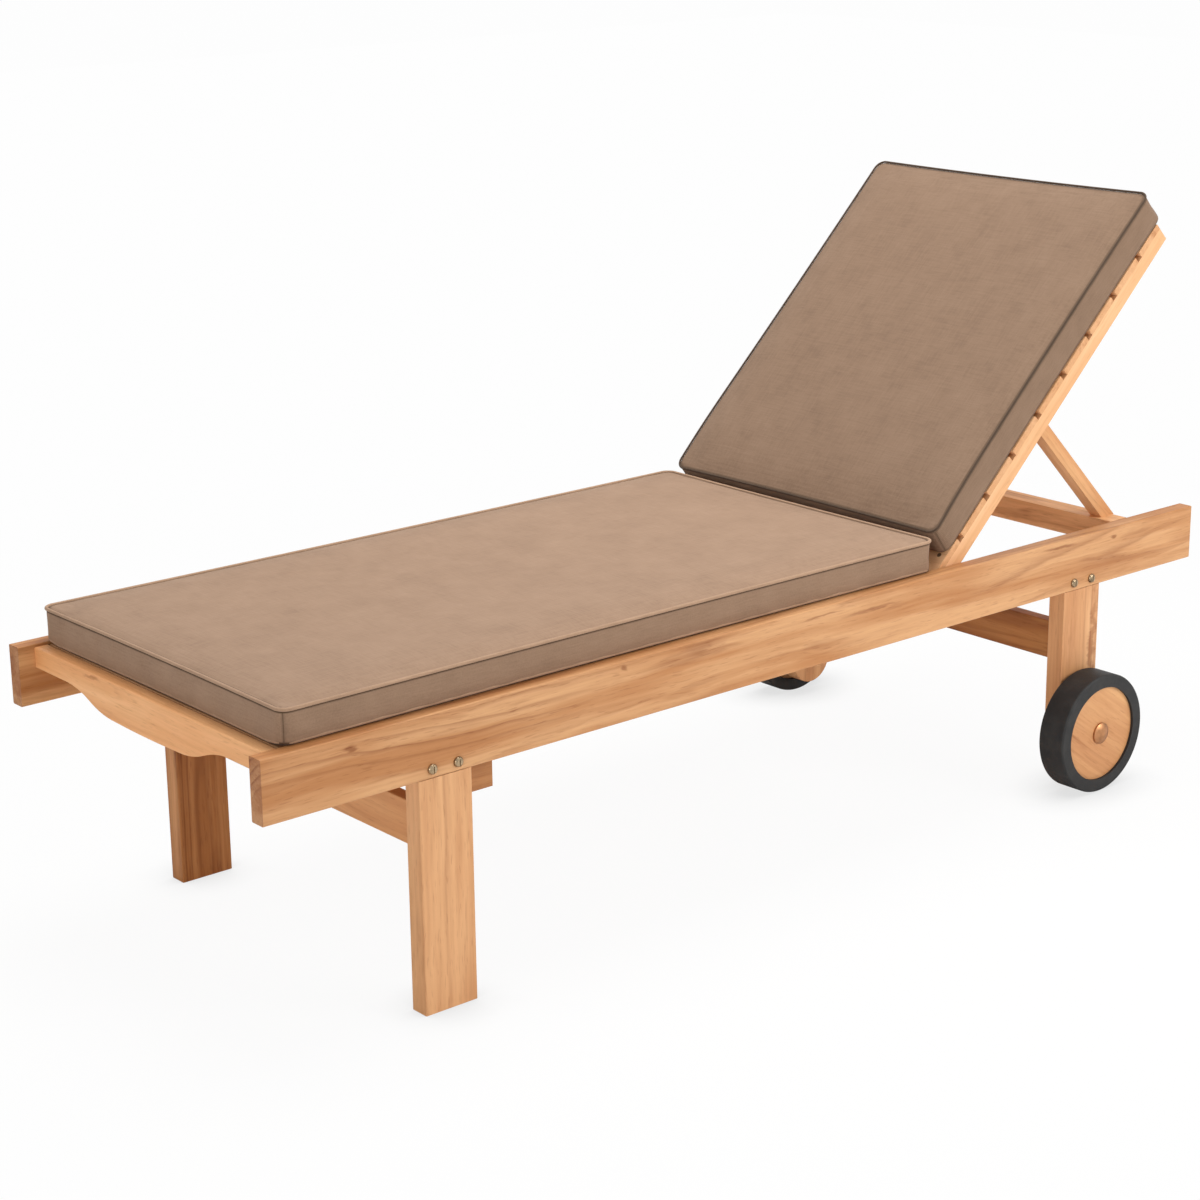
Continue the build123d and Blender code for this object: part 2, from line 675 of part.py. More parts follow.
back_cushion_middle = back_plane.from_local_coords(
    (back_cushion_start + back_cushion_length / 2, 0, back_face + cushion_lift)
)
back_cushion_half = back_cushion_length / 2
back_cushion_plane = deck_plane(back_cushion_middle.X, back_cushion_middle.Z, back_angle)
cushion(back_cushion_plane, back_cushion_half, back_cushion_half_width, back_cushion_thickness, "back_cushion")

print("prop pivot", round(prop_pivot.X, 3), round(prop_pivot.Z, 3))
print("arm length", round(arm_length, 3), "arm angle", round(arm_angle, 3))
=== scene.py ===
import math
import bmesh
import bpy
from mathutils import Matrix, Vector


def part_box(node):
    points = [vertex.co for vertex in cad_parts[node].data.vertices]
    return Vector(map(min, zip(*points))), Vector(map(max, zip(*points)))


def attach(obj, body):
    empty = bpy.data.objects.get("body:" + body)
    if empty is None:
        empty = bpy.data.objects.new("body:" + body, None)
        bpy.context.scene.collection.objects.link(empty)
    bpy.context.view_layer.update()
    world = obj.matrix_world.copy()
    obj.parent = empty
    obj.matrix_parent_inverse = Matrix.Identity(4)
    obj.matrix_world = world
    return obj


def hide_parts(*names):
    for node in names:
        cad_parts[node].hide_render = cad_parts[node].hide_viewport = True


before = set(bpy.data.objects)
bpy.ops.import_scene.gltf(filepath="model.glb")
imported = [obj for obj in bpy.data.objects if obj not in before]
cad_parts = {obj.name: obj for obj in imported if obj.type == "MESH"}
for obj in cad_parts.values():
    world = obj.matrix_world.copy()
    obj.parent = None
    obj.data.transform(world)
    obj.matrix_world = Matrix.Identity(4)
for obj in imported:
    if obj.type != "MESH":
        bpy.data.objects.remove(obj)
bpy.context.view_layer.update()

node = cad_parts
bpy.context.scene.view_settings.view_transform = "Standard"

# Camera, at a standing person's eye height beside the foot end.
# The frame is the photograph's own square.
CAMERA_PLACE = Vector((-2.7603, -3.1530, 1.6550))
AZIMUTH, ELEVATION, ROLL = (math.radians(angle) for angle in (-40.07, 16.61, -0.66))
LENS_WIDTHS = 2604.4 / 1200
SENSOR_WIDTH = 36.0
NEAREST_SEEN, FARTHEST_SEEN = 0.05, 60.0
camera_data = bpy.data.cameras.new("camera")
camera_data.sensor_width = SENSOR_WIDTH
camera_data.lens = LENS_WIDTHS * camera_data.sensor_width
camera_data.clip_start, camera_data.clip_end = NEAREST_SEEN, FARTHEST_SEEN
camera = bpy.data.objects.new("camera", camera_data)
bpy.context.scene.collection.objects.link(camera)
bpy.context.scene.camera = camera
behind = Vector((
    math.sin(AZIMUTH) * math.cos(ELEVATION),
    -math.cos(AZIMUTH) * math.cos(ELEVATION),
    math.sin(ELEVATION),
))
level = (-behind).cross(Vector((0, 0, 1))).normalized()
upright = level.cross(-behind)
right = math.cos(ROLL) * level + math.sin(ROLL) * upright
up = -math.sin(ROLL) * level + math.cos(ROLL) * upright
turn = Matrix((right, up, behind)).transposed().to_4x4()
camera.matrix_world = Matrix.Translation(CAMERA_PLACE) @ turn

# Floor, a pale sheet that shows white to the camera and keeps a faint shadow, with painted contact shade close to
# what stands on it.
# The surrounding is an even pale studio, with three large soft lamps.
FLOOR_HALF_SIZE, FLOOR_DROP = 14, 0.0005
FLOOR_TONE, FLOOR_ROUGHNESS = (0.9, 0.9, 0.9, 1), 0.9
FLOOR_WHITE = (0.99, 0.99, 0.99, 1)
CONTACT_REACH = 0.10
CONTACT_OPENNESS, CONTACT_BRIGHTNESS = (0.35, 0.95), (0.78, 1.0)
SHADOW_FADES_AT, WHITE_SHARE = (1.1, 2.6), (0.95, 1.0)
STUDIO_TONE, STUDIO_STRENGTH = (1.0, 0.99, 0.98, 1), 0.46
BACKDROP_TONE = (0.985, 0.985, 0.985, 1)


def tied(tree, kind, *sources, **values):
    """A shader node with its values set and its first inputs given a number, a colour or a link."""
    made = tree.nodes.new(kind)
    for name, value in values.items():
        setattr(made, name, value)
    for index, source in enumerate(sources):
        if isinstance(source, (int, float, tuple)):
            made.inputs[index].default_value = source
        else:
            tree.links.new(source, made.inputs[index])
    return made


def reckoned(tree, operation, *values, clamp=False):
    """One step of a pattern's arithmetic."""
    return tied(tree, "ShaderNodeMath", *values, operation=operation, use_clamp=clamp).outputs[0]


def eased(tree, value, low, high, least, most, manner="LINEAR"):
    """The value's way from low to high turned into one from least to most."""
    return tied(tree, "ShaderNodeMapRange", value, low, high, least, most, interpolation_type=manner).outputs[0]


floor_mesh = bmesh.new()
bmesh.ops.create_grid(floor_mesh, x_segments=1, y_segments=1, size=FLOOR_HALF_SIZE)
floor_data = bpy.data.meshes.new("floor")
floor_mesh.to_mesh(floor_data)
floor_mesh.free()
floor = bpy.data.objects.new("floor", floor_data)
floor.location.z = -FLOOR_DROP
bpy.context.scene.collection.objects.link(floor)

floor_paint = bpy.data.materials.new("floor_paint")
floor_paint.use_nodes = True
paint = floor_paint.node_tree
shader = paint.nodes["Principled BSDF"]
shader.inputs["Base Color"].default_value = FLOOR_TONE
shader.inputs["Roughness"].default_value = FLOOR_ROUGHNESS
# Painted contact shade: ambient occlusion darkens the white shown to the camera close to the legs and wheels.
nearby = tied(paint, "ShaderNodeAmbientOcclusion")
nearby.inputs["Distance"].default_value = CONTACT_REACH
painted_contact_shade = eased(paint, nearby.outputs["AO"], *CONTACT_OPENNESS, *CONTACT_BRIGHTNESS)
white = tied(paint, "ShaderNodeEmission", FLOOR_WHITE, painted_contact_shade)
floor_place = tied(paint, "ShaderNodeTexCoord").outputs["Object"]
from_middle = tied(paint, "ShaderNodeVectorMath", floor_place, operation="LENGTH").outputs["Value"]
whiter = eased(paint, from_middle, *SHADOW_FADES_AT, *WHITE_SHARE)
camera_ray = tied(paint, "ShaderNodeLightPath").outputs["Is Camera Ray"]
shown_white = reckoned(paint, "MULTIPLY", camera_ray, whiter)
lit = tied(paint, "ShaderNodeMixShader", shown_white, shader.outputs[0], white.outputs[0])
paint.links.new(lit.outputs[0], paint.nodes["Material Output"].inputs[0])
floor_data.materials.append(floor_paint)

world = bpy.data.worlds.new("surrounding")
bpy.context.scene.world = world
world.use_nodes = True
sky = world.node_tree
studio = sky.nodes["Background"]
studio.inputs["Color"].default_value = STUDIO_TONE
studio.inputs["Strength"].default_value = STUDIO_STRENGTH
backdrop = tied(sky, "ShaderNodeBackground", BACKDROP_TONE)
sky_seen = tied(sky, "ShaderNodeLightPath")
camera_or_gloss = reckoned(sky, "MAXIMUM", sky_seen.outputs["Is Camera Ray"], sky_seen.outputs["Is Glossy Ray"])
sky_mix = tied(sky, "ShaderNodeMixShader", camera_or_gloss, studio.outputs[0], backdrop.outputs[0])
sky.links.new(sky_mix.outputs[0], sky.nodes["World Output"].inputs[0])


def lamp(name, place, target, size, power, colour=(1, 1, 1)):
    """A large soft area lamp aimed at a point."""
    data = bpy.data.lights.new(name, "AREA")
    data.shape = "DISK"
    data.size = size
    data.energy = power
    data.color = colour
    source = bpy.data.objects.new(name, data)
    source.location = place
    source.rotation_euler = (Vector(target) - Vector(place)).to_track_quat("-Z", "Y").to_euler()
    bpy.context.scene.collection.objects.link(source)


lamp("key_lamp", place=(1.75, -3.2, 2.1), target=(0.45, 0, 0.4), size=2.1, power=68, colour=(1.0, 0.985, 0.96))
lamp("top_lamp", place=(0.35, 0.3, 4.0), target=(0, 0, 0.4), size=2.8, power=124)
lamp("foot_lamp", place=(-7.5, -3.6, 1.1), target=(0, 0, 0.4), size=3.4, power=150)

# Side rails: one long teak board each, planed and oiled, with a paler sapwood band along its lower part.
# Each board is housed inside for the leg tongues and mortised for the apron.
RAIL_TEAK = ((0.24, 0.074, 0.020), (0.485, 0.213, 0.077), (0.66, 0.360, 0.168))
FAR_RAIL_TEAK = ((0.20, 0.055, 0.011), (0.43, 0.165, 0.046), (0.66, 0.345, 0.145))

# Figure of the wood. A scale is in features per metre along and across the grain. Levels are the two heights of
# the noise between which a pattern goes from its least to its most, followed by that least and most.
GRAIN_SWAY, GRAIN_SWAY_REACH = (2.2, 9.0, 9.0), (0.0, 0.026, 0.026)
RING_FIELD, RING_COUNT = (0.4, 8.0, 8.0), 13.0
RING_DEPTH_AT_ENDS, RING_DEPTHS = 0.1, ((0.08, 0.0), (0.62, 0.1), (0.90, 1.0))
RING_PATCHES, RING_PATCH_LEVELS = (1.3, 11.0, 11.0), (0.44, 0.60, 0.12, 1.0)
LENSES, LENS_LEVELS = (3.4, 34.0, 34.0), (0.56, 0.76, 0.0)
FIBRES, FIBRE_LEVELS = (6.0, 170.0, 170.0), (0.38, 0.72, 0.0, 0.20)
PORES, PORE_LEVELS = (36.0, 460.0, 460.0), (0.61, 0.72, 0.0, 0.26)
BANDS, BAND_LEVELS = (1.3, 34.0, 34.0), (0.34, 0.66, -0.6, 0.6)
SLOW_BANDS, SLOW_BAND_LEVELS = (3.0, 12.0, 12.0), (0.34, 0.66, -0.4, 0.4)
MIDDLE_TONE = 0.45
BOARD_JUMP, BOARD_CONTRAST = (7.3, 5.1, 3.7), 0.5
MARK_SWAY, MARK_SWAY_REACH, MARK_LEVELS = (14.0, 30.0, 45.0), (0.05, 0.0, 0.016), (0.25, 1.0)
SAPWOOD_WAVE, SAPWOOD_WAVE_HEIGHT = (3.2, 3.0, 3.0), 0.05
SAPWOOD_PALENESS, FIGURE_LEFT_IN_SAPWOOD = 0.5, 0.6
END_GRAIN_LEVELS = (0.75, 0.95, 0.0, 0.40)
TEAK_ROUGHNESS_LEVELS = (0.3, 0.7, 0.44, 0.60)
TEAK_RELIEF = (0.25, 0.0006)


def new_finish(name):
    """A new material, with its node tree and its shader."""
    material = bpy.data.materials.new(name)
    material.use_nodes = True
    return material, material.node_tree, material.node_tree.nodes["Principled BSDF"]


def speckled(tree, place, scale, detail=2.0, roughness=0.5, distortion=0.0):
    """Even noise, with its features per metre."""
    noise = tied(tree, "ShaderNodeTexNoise", place)
    noise.inputs["Scale"].default_value = scale
    noise.inputs["Detail"].default_value = detail
    noise.inputs["Roughness"].default_value = roughness
    noise.inputs["Distortion"].default_value = distortion
    return noise


def drawn_out(tree, place, scale, *character):
    """Noise drawn out along the grain, with its features per metre along and across it."""
    at = tied(tree, "ShaderNodeMapping", place)
    at.inputs["Scale"].default_value = scale
    return speckled(tree, at.outputs[0], 1.0, *character)


def figured(tree, place, scale, levels, *character):
    """A pattern along the grain, made of the noise between two of its levels."""
    return eased(tree, drawn_out(tree, place, scale, *character).outputs[0], *levels)


def moved(tree, operation, *values):
    """One step of arithmetic on a place in space."""
    return tied(tree, "ShaderNodeVectorMath", *values, operation=operation).outputs[0]


def swayed(tree, place, scale, reach):
    """A place moved about by slow noise, so that lines drawn there wander."""
    sway = drawn_out(tree, place, scale, 3.0, 0.6).outputs["Color"]
    sway = moved(tree, "SUBTRACT", sway, (0.5, 0.5, 0.5))
    return moved(tree, "ADD", place, moved(tree, "MULTIPLY", sway, reach))


def distance_along(tree, place, axis):
    """How far a place lies along an axis."""
    return tied(tree, "ShaderNodeVectorMath", place, axis, operation="DOT_PRODUCT").outputs["Value"]


def blended(tree, first, second, amount):
    """Two colours, or patterns of colour, mixed by an amount."""
    mix = tied(tree, "ShaderNodeMix", data_type="RGBA")
    for side, colour in (("A", first), ("B", second)):
        if isinstance(colour, tuple):
            mix.inputs[side].default_value = (*colour, 1)
        else:
            tree.links.new(colour, mix.inputs[side])
    tree.links.new(amount, mix.inputs["Factor"])
    return mix.outputs["Result"]


def embossed(tree, height, strength, depth):
    """Fine relief that follows a pattern, as deep in metres as given."""
    bump = tied(tree, "ShaderNodeBump")
    bump.inputs["Strength"].default_value = strength
    bump.inputs["Distance"].default_value = depth
    tree.links.new(height, bump.inputs["Height"])
    return bump


def oiled_teak(name, tones, turn=(0, 0, 0), shift=(0, 0, 0), board_pitch=None, lines=0.30, streaks=0.5,
               sapwood=(), marks=()):
    """Oiled teak: soft bands and wandering growth lines along the grain, dark lenses, pores, dark end grain.

    The turn brings the grain onto X. board_pitch shifts the figure from board to board along the pitch axis.
    """
    dark, middle, light = tones
    teak, tree, shader = new_finish(name)
    surface = tied(tree, "ShaderNodeTexCoord")
    place = surface.outputs["Object"]
    turned = tied(tree, "ShaderNodeMapping", place)
    turned.inputs["Rotation"].default_value = turn
    turned.inputs["Location"].default_value = shift
    along = turned.outputs[0]
    if board_pitch:
        axis, start, pitch = board_pitch
        past_start = reckoned(tree, "SUBTRACT", distance_along(tree, place, axis), start)
        board = tied(tree, "ShaderNodeTexWhiteNoise", noise_dimensions="1D")
        tree.links.new(reckoned(tree, "FLOOR", reckoned(tree, "DIVIDE", past_start, pitch)), board.inputs["W"])
        along = moved(tree, "ADD", along, moved(tree, "MULTIPLY", board.outputs["Color"], BOARD_JUMP))
    along = swayed(tree, along, GRAIN_SWAY, GRAIN_SWAY_REACH)

    # Growth lines where the saw met the rings: thin, dark on one side, and only in parts of the board
    field = drawn_out(tree, along, RING_FIELD, 1.0, 0.4).outputs[0]
    rings = reckoned(tree, "FRACT", reckoned(tree, "MULTIPLY", field, RING_COUNT))
    late_wood = tied(tree, "ShaderNodeValToRGB", rings)
    ramp = late_wood.color_ramp.elements
    for end, position in zip((ramp[0], ramp[1]), (0.0, 1.0)):
        end.position, end.color = position, (RING_DEPTH_AT_ENDS, RING_DEPTH_AT_ENDS, RING_DEPTH_AT_ENDS, 1)
    for position, depth in RING_DEPTHS:
        ramp.new(position).color = (depth, depth, depth, 1)
    shown = figured(tree, along, RING_PATCHES, RING_PATCH_LEVELS, 1.0)
    growth = reckoned(tree, "MULTIPLY", reckoned(tree, "MULTIPLY", late_wood.outputs[0], shown), lines)

    # Dark lenses, fibres and pores
    lens = figured(tree, along, LENSES, (*LENS_LEVELS, streaks), 3.0, 0.6, 0.4)
    fibres = drawn_out(tree, along, FIBRES, 3.0, 0.6).outputs[0]
    fine = eased(tree, fibres, *FIBRE_LEVELS)
    pores = figured(tree, along, PORES, PORE_LEVELS, 1.0)
    darkening = reckoned(tree, "ADD", reckoned(tree, "ADD", growth, lens), reckoned(tree, "ADD", fine, pores))
    if marks:
        rough_place = swayed(tree, place, MARK_SWAY, MARK_SWAY_REACH)
        for centre, half, depth in marks:
            away = moved(tree, "SUBTRACT", rough_place, centre)
            away = moved(tree, "MULTIPLY", away, tuple(1 / reach for reach in half))
            away = tied(tree, "ShaderNodeVectorMath", away, operation="LENGTH").outputs["Value"]
            stain = eased(tree, away, *MARK_LEVELS, depth, 0.0, "SMOOTHSTEP")
            darkening = reckoned(tree, "ADD", darkening, stain)

    # Bands of lighter and darker wood, and pale sapwood beyond its edge
    band = figured(tree, along, BANDS, BAND_LEVELS, 3.0, 0.6)
    slow = figured(tree, along, SLOW_BANDS, SLOW_BAND_LEVELS)
    tone = reckoned(tree, "ADD", reckoned(tree, "ADD", band, slow), MIDDLE_TONE)
    if board_pitch:
        own_tone = reckoned(tree, "SUBTRACT", board.outputs["Value"], 0.5)
        tone = reckoned(tree, "ADD", tone, reckoned(tree, "MULTIPLY", own_tone, BOARD_CONTRAST))
    if sapwood:
        wave = reckoned(tree, "SUBTRACT", drawn_out(tree, place, SAPWOOD_WAVE, 3.0).outputs[0], 0.5)
        drift = reckoned(tree, "MULTIPLY", wave, SAPWOOD_WAVE_HEIGHT)
        paler = None
        for axis, edge, softness, strength in sapwood:
            height = reckoned(tree, "ADD", distance_along(tree, place, axis), drift)
            part = eased(tree, height, edge, edge + softness, strength, 0.0)
            paler = part if paler is None else reckoned(tree, "MAXIMUM", paler, part)
        tone = reckoned(tree, "ADD", tone, reckoned(tree, "MULTIPLY", paler, SAPWOOD_PALENESS))
        figure_left = eased(tree, paler, 0.0, 1.0, 1.0, FIGURE_LEFT_IN_SAPWOOD)
        darkening = reckoned(tree, "MULTIPLY", darkening, figure_left)
    facing = tied(tree, "ShaderNodeMapping", surface.outputs["Normal"])
    facing.inputs["Rotation"].default_value = turn
    facing = tied(tree, "ShaderNodeSeparateXYZ", facing.outputs[0]).outputs[0]
    end_grain = eased(tree, reckoned(tree, "ABSOLUTE", facing), *END_GRAIN_LEVELS)
    darkening = reckoned(tree, "ADD", darkening, end_grain, clamp=True)

    wood = blended(tree, middle, light, reckoned(tree, "ADD", tone, 0.0, clamp=True))
    tree.links.new(blended(tree, wood, dark, darkening), shader.inputs["Base Color"])
    tree.links.new(eased(tree, fibres, *TEAK_ROUGHNESS_LEVELS), shader.inputs["Roughness"])
    relief = embossed(tree, reckoned(tree, "MULTIPLY", darkening, -1.0), *TEAK_RELIEF)
    tree.links.new(relief.outputs[0], shader.inputs["Normal"])
    shader.inputs["IOR"].default_value = 1.45
    shader.inputs["Specular IOR Level"].default_value = 0.35
    return teak


def finished(material, *names):
    """Give CAD nodes a finish."""
    for name in names:
        piece = node[name]
        piece.data.materials.clear()
        piece.data.materials.append(material)


# Sapwood: the axis that it is measured along, its edge and softness on that axis, and its strength
SAPWOOD = (
    ((0, 0, 1), 0.378, 0.003, 0.75),
    ((-0.105, 0, 1), 0.283, 0.003, 1.0),
    ((-1, 0, 0), 0.0, 0.6, 0.30),
)
# Knots and streaks: centre, half size and depth
RAIL_MARKS = (
    ((-0.853, -0.35, 0.441), (0.013, 0.05, 0.007), 0.75),
    ((-0.362, -0.35, 0.4475), (0.010, 0.05, 0.006), 0.6),
    ((0.637, -0.35, 0.4465), (0.060, 0.05, 0.0045), 0.75),
    ((0.779, -0.35, 0.442), (0.013, 0.05, 0.005), 0.75),
    ((0.165, -0.35, 0.4315), (0.085, 0.05, 0.0045), 0.6),
    ((0.060, -0.35, 0.4440), (0.060, 0.05, 0.0025), 0.6),
)
near_rail_teak = oiled_teak("rail_teak_near", RAIL_TEAK, lines=0.48, streaks=0.75, sapwood=SAPWOOD, marks=RAIL_MARKS)
finished(near_rail_teak, "side_rail_left")
finished(oiled_teak("rail_teak_far", FAR_RAIL_TEAK, shift=(3.1, 0.7, 0.4), sapwood=SAPWOOD), "side_rail_right")

# Legs: four upright teak boards, flush with the outer faces of the rails and bolted through a tongue.
# The rear pair ends in a half round and carries the wheels.
LEG_TEAK = ((0.33, 0.122, 0.042), (0.60, 0.290, 0.126), (0.73, 0.400, 0.192))
# The far front leg's dark tones are partly its dark heartwood and partly painted shade, the shade under the seat.
DARK_AND_SHADED_LEG_TEAK = ((0.18, 0.050, 0.010), (0.40, 0.155, 0.043), (0.60, 0.285, 0.105))
UPRIGHT_GRAIN = (0, math.radians(90), 0)
REAR_LEG_STREAK = (((0.737, -0.35, 0.25), (0.011, 0.06, 0.16), 0.5),)
for leg, name, tones, shift, character in (
    ("front_leg_left", "leg_teak_front_near", LEG_TEAK, (1.2, 0.31, 0.62), {}),
    ("front_leg_right", "leg_teak_front_far", DARK_AND_SHADED_LEG_TEAK, (2.9, 1.31, 0.11), {"lines": 0.6, "streaks": 0.9}),
    ("rear_leg_left", "leg_teak_rear_near", LEG_TEAK, (0.3, 2.43, 0.78), {"marks": REAR_LEG_STREAK}),
    ("rear_leg_right", "leg_teak_rear_far", LEG_TEAK, (4.4, 0.87, 1.93), {}),
):
    finished(oiled_teak(name, tones, UPRIGHT_GRAIN, shift, **character), leg)

# Leg bolts: domed, slotted heads of plated steel through the lower edge of the rail.
# Their nuts and washers sit on the inner face of the leg tongue.
BOLT_TONE = (0.37, 0.275, 0.17)
PLAIN_STEEL = (0.55, 0.55, 0.55)
SCREW_TONE = (0.20, 0.13, 0.08)
TARNISH_PATCHES, TARNISH_LEVELS = 90.0, (0.45, 0.7, 0.0, 1.0)
SCRATCHES, SCRATCH_LEVELS, SCRATCH_ROUGHENING = 700.0, (0.3, 0.7), 0.14
METAL_RELIEF = (0.12, 0.0002)


def satin_metal(name, tone, roughness, tarnish):
    """Satin metal with fine scratches and slightly tarnished patches."""
    metal, tree, shader = new_finish(name)
    shader.inputs["Metallic"].default_value = 1.0
    place = tied(tree, "ShaderNodeTexCoord").outputs["Object"]
    patches = eased(tree, speckled(tree, place, TARNISH_PATCHES, 4.0).outputs[0], *TARNISH_LEVELS)
    tarnished = tuple(part * tarnish for part in tone)
    tree.links.new(blended(tree, tone, tarnished, patches), shader.inputs["Base Color"])
    scratches = speckled(tree, place, SCRATCHES).outputs[0]
    rough = eased(tree, scratches, *SCRATCH_LEVELS, roughness, roughness + SCRATCH_ROUGHENING)
    tree.links.new(rough, shader.inputs["Roughness"])
    tree.links.new(embossed(tree, scratches, *METAL_RELIEF).outputs[0], shader.inputs["Normal"])
    return metal


finished(satin_metal("bolt_steel", BOLT_TONE, 0.22, 0.5), "leg_bolts")
hidden_steel = satin_metal("hidden_steel", PLAIN_STEEL, 0.32, 0.8)
screw_steel = satin_metal("screw_steel", SCREW_TONE, 0.4, 0.6)
finished(hidden_steel, "leg_nuts")

# Foot apron and cross braces: teak boards across the frame, the apron with a scalloped lower edge.
# They are tenoned into the rails and the legs.
# The apron's pale tones are partly its sapwood and partly painted light, the light falling from the foot end.
PALE_AND_LIT_APRON_TEAK = ((0.44, 0.165, 0.050), (0.79, 0.375, 0.150), (0.90, 0.49, 0.225))
BRACE_TEAK = ((0.32, 0.11, 0.032), (0.60, 0.275, 0.105), (0.72, 0.37, 0.158))
DARK_BRACE_TEAK = ((0.17, 0.048, 0.010), (0.35, 0.13, 0.033), (0.44, 0.185, 0.054))
CROSS_GRAIN = (0, 0, math.radians(-90))
APRON_MARK = (((-0.972, 0.150, 0.446), (0.05, 0.032, 0.004), 0.6),)
apron_teak = oiled_teak("apron_teak", PALE_AND_LIT_APRON_TEAK, CROSS_GRAIN, (1.9, 0.55, 1.33), streaks=0.55, marks=APRON_MARK)
finished(apron_teak, "foot_apron")
finished(oiled_teak("front_brace_teak", BRACE_TEAK, CROSS_GRAIN, (2.2, 0.35, 1.7)), "front_brace")
finished(oiled_teak("rear_brace_teak", DARK_BRACE_TEAK, CROSS_GRAIN, (3.6, 1.45, 0.6)), "rear_brace")

# Blocks behind the front legs, and the bearers under the seat slats: plain teak battens.
# The blocks are glued to the legs and the bearers are screwed to the rails.
BATTEN_TEAK = ((0.26, 0.09, 0.026), (0.44, 0.19, 0.066), (0.54, 0.26, 0.10))
batten_teak = oiled_teak("batten_teak", BATTEN_TEAK, shift=(0.8, 1.9, 2.4))
finished(batten_teak, "front_leg_block_left", "front_leg_block_right", "seat_bearer_left", "seat_bearer_right")

# Seat slats: fifteen planed teak boards with eased edges, one screw in each end.
# The figure jumps from slat to slat.
SLAT_TEAK = ((0.38, 0.15, 0.055), (0.66, 0.33, 0.145), (0.76, 0.42, 0.205))
SEAT_PITCH, BEFORE_FIRST_SEAT_SLAT = 0.088, 0.005
seat_slats = [name for name in node if name.startswith("seat_slat_") and name != "seat_slat_screws"]
seat_start = min(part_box(name)[0][0] for name in seat_slats) - BEFORE_FIRST_SEAT_SLAT
seat_boards = ((1, 0, 0), seat_start, SEAT_PITCH)
finished(oiled_teak("seat_slat_teak", SLAT_TEAK, CROSS_GRAIN, board_pitch=seat_boards), *seat_slats)
finished(screw_steel, "seat_slat_screws")

# Backrest: two teak stiles on the hinge pins, with nine thin slats screwed across their front faces.
# It rests raised by the back angle.
BACK_TILT = math.radians(44)
BACK_HINGE = Vector((0.3675, 0, 0.4275))
STILE_TEAK = ((0.50, 0.225, 0.09), (0.78, 0.43, 0.21), (0.87, 0.52, 0.28))
SLOPED_GRAIN = (0, BACK_TILT, 0)
BACK_PITCH, BEFORE_FIRST_BACK_SLAT = 0.087, 0.003
for stile, name, shift in (
    ("backrest_stile_left", "stile_teak_near", (0.6, 0.2, 0.5)),
    ("backrest_stile_right", "stile_teak_far", (2.6, 1.2, 0.9)),
):
    finished(oiled_teak(name, STILE_TEAK, SLOPED_GRAIN, shift, streaks=0.35), stile)
along_back = Vector((math.cos(BACK_TILT), 0, math.sin(BACK_TILT)))
back_start = BACK_HINGE.dot(along_back) - BEFORE_FIRST_BACK_SLAT
back_boards = (tuple(along_back), back_start, BACK_PITCH)
back_slats = [name for name in node if name.startswith("back_slat_") and name != "back_slat_screws"]
finished(oiled_teak("back_slat_teak", STILE_TEAK, CROSS_GRAIN, board_pitch=back_boards), *back_slats)
finished(screw_steel, "back_slat_screws")
finished(hidden_steel, "hinge_pins", "prop_pivot_pins")

# Prop: two teak arms that swing on pins in the stiles, joined by a teak foot bar across the racks.
# The toothed racks are screwed to the inner faces of the rails.
ARM_TEAK = ((0.42, 0.165, 0.055), (0.66, 0.33, 0.142), (0.76, 0.42, 0.198))
# The foot bar's tones are raised above the arms' as painted light on its foot-facing face.
LIT_BAR_TEAK = ((0.42, 0.165, 0.055), (0.78, 0.42, 0.19), (0.88, 0.52, 0.26))
ARM_SLOPE = (0, math.radians(-45.4), 0)
arm_teak = oiled_teak("prop_arm_teak", ARM_TEAK, ARM_SLOPE, (1.1, 0.45, 0.3), streaks=0.35)
finished(arm_teak, "prop_arm_left", "prop_arm_right")
finished(oiled_teak("foot_bar_teak", LIT_BAR_TEAK, CROSS_GRAIN, (1.7, 0.15, 0.8), streaks=0.8), "prop_foot_bar")
finished(batten_teak, "prop_rack_left", "prop_rack_right")

# Wheels: a teak disc in a matt black rubber tyre, with a domed copper-toned cap over the end of the axle.
# Disc, tyre and cap turn together on a steel stub axle through the leg.
DISC_TEAK = ((0.34, 0.128, 0.044), (0.57, 0.275, 0.116), (0.69, 0.375, 0.168))
DISC_GRAIN = (0, math.radians(-35), 0)
TYRE_BLACK = (0.010, 0.010, 0.0105)
TYRE_DUST = (0.026, 0.025, 0.024)
DUST_PATCHES, DUST_LEVELS = 38.0, (0.45, 0.72, 0.0, 0.65)
PITTING, PITTING_LEVELS = 900.0, (0.3, 0.7, 0.5, 0.68)
RUBBER_RELIEF = (0.2, 0.0003)
HUB_COPPER = (0.44, 0.215, 0.102)
disc_teak = oiled_teak("disc_teak", DISC_TEAK, DISC_GRAIN, (0.5, 0.8, 1.3), lines=0.5, streaks=0.8)
finished(disc_teak, "wheel_disc_left", "wheel_disc_right")
finished(satin_metal("hub_copper", HUB_COPPER, 0.34, 0.72), "hub_cap_left", "hub_cap_right")
finished(hidden_steel, "wheel_axles", "axle_nuts_and_spacers")

tyre_rubber, rubber, shader = new_finish("tyre_rubber")
rubber_place = tied(rubber, "ShaderNodeTexCoord").outputs["Object"]
dust = eased(rubber, speckled(rubber, rubber_place, DUST_PATCHES, 5.0).outputs[0], *DUST_LEVELS)
rubber.links.new(blended(rubber, TYRE_BLACK, TYRE_DUST, dust), shader.inputs["Base Color"])
shader.inputs["Specular IOR Level"].default_value = 0.38
pitting = speckled(rubber, rubber_place, PITTING).outputs[0]
rubber.links.new(eased(rubber, pitting, *PITTING_LEVELS), shader.inputs["Roughness"])
rubber.links.new(embossed(rubber, pitting, *RUBBER_RELIEF).outputs[0], shader.inputs["Normal"])
finished(tyre_rubber, "tyre_left", "tyre_right")

